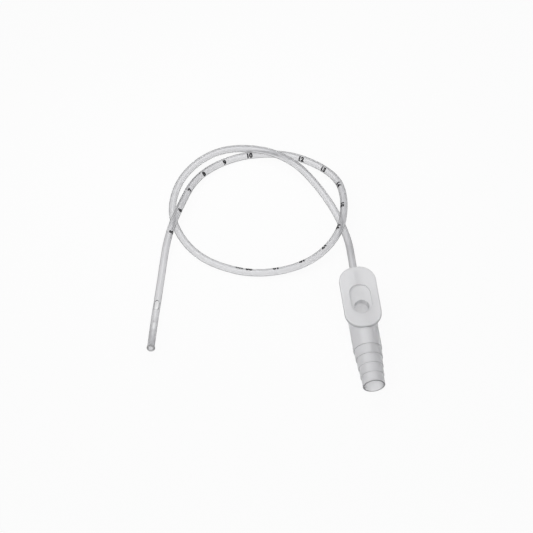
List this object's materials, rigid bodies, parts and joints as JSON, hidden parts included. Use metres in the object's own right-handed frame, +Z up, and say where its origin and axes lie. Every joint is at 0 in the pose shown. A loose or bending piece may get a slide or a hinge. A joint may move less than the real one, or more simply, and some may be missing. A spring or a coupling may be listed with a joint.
{
  "type": "coude suction catheter",
  "caption": "Clear soft suction catheter with depth numerals, side eyes and a slightly bent tip, bonded into a thumb control valve with a stepped connector.",
  "frame": {"origin": "on the surface that the part lies on, below the middle of the control valve", "axes": "+Y along the valve's axis from the open end of its stepped connector to the nose that the tube leaves, +Z up through the thumb plate"},
  "size_m": [0.084, 0.1105, 0.0114],
  "materials": {
    "valve_plastic": "satin, milky translucent",
    "tube_plastic": "clear, slightly frosted soft plastic"
  },
  "bodies": {
    "root": {"control_valve": "valve_plastic", "catheter_tube": "tube_plastic"}
  },
  "joints": []
}
